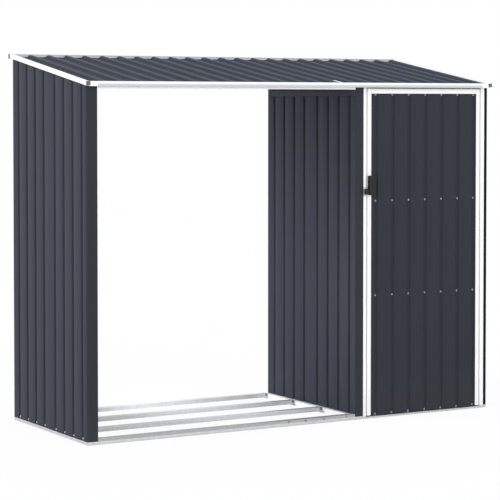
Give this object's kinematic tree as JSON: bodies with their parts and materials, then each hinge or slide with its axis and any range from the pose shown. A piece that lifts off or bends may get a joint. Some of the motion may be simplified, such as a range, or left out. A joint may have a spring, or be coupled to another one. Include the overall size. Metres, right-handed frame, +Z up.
{
  "type": "log store with tool compartment",
  "caption": "Lean-to steel log store: an open log bay on floor rails beside a closed tool compartment with a hinged, latched door, under a ribbed roof.",
  "frame": {"origin": "middle of the overall box, on the ground under the base channels", "axes": "+X to the right along the front, +Y to the back, +Z up"},
  "size_m": [2.287, 0.891, 1.806],
  "materials": {
    "anthracite_sheet": "satin anthracite coating on ribbed steel sheet",
    "white_frame": "semi-gloss white coating on folded steel",
    "zinc_channel": "galvanised steel channel",
    "grey_end_cap": "dark grey moulded end cap",
    "black_latch": "black moulded latch"
  },
  "bodies": {
    "store": {"front_sill": "zinc_channel", "left_sill": "zinc_channel", "partition_sill": "white_frame", "right_sill": "zinc_channel", "back_sill": "zinc_channel", "floor_rail_1": "zinc_channel", "floor_rail_2": "zinc_channel", "floor_rail_3": "zinc_channel", "floor_rail_4": "zinc_channel", "left_wall_front_sheet": "anthracite_sheet", "left_wall_back_sheet": "anthracite_sheet", "partition_front_sheet": "anthracite_sheet", "partition_back_sheet": "anthracite_sheet", "right_wall_front_sheet": "anthracite_sheet", "right_wall_back_sheet": "anthracite_sheet", "back_wall_sheet": "anthracite_sheet", "left_front_flange": "anthracite_sheet", "partition_front_flange": "anthracite_sheet", "right_front_flange": "anthracite_sheet", "left_back_flange": "anthracite_sheet", "partition_back_flange": "anthracite_sheet", "right_back_flange": "anthracite_sheet", "left_door_post": "white_frame", "right_door_post": "white_frame", "bay_header": "white_frame", "door_header": "white_frame", "bay_back_beam": "white_frame", "back_wall_beam": "white_frame", "partition_tie_rail": "anthracite_sheet", "roof_left_sheet": "anthracite_sheet", "roof_middle_sheet": "anthracite_sheet", "roof_right_sheet": "anthracite_sheet", "eave_trim_left": "white_frame", "eave_trim_right": "white_frame", "eave_corner_covers": "white_frame", "left_verge": "white_frame", "right_verge": "white_frame", "back_trim": "white_frame", "trim_end_caps": "grey_end_cap", "frame_hinge_leaves": "white_frame", "latch_keeper": "zinc_channel"},
    "door": {"door_left_stile": "white_frame", "door_right_stile": "white_frame", "door_top_rail": "white_frame", "door_cross_rails": "white_frame", "door_sheet": "anthracite_sheet", "door_hinge_leaves": "white_frame", "latch_case": "black_latch", "latch_tongue": "black_latch"}
  },
  "joints": [
    {"name": "door_hinge", "type": "hinge", "parent": "store", "child": "door", "pos_m": [1.08715, -0.4252, 0.82535], "axis": [0, 0, 1], "range_deg": [0, 120]}
  ]
}
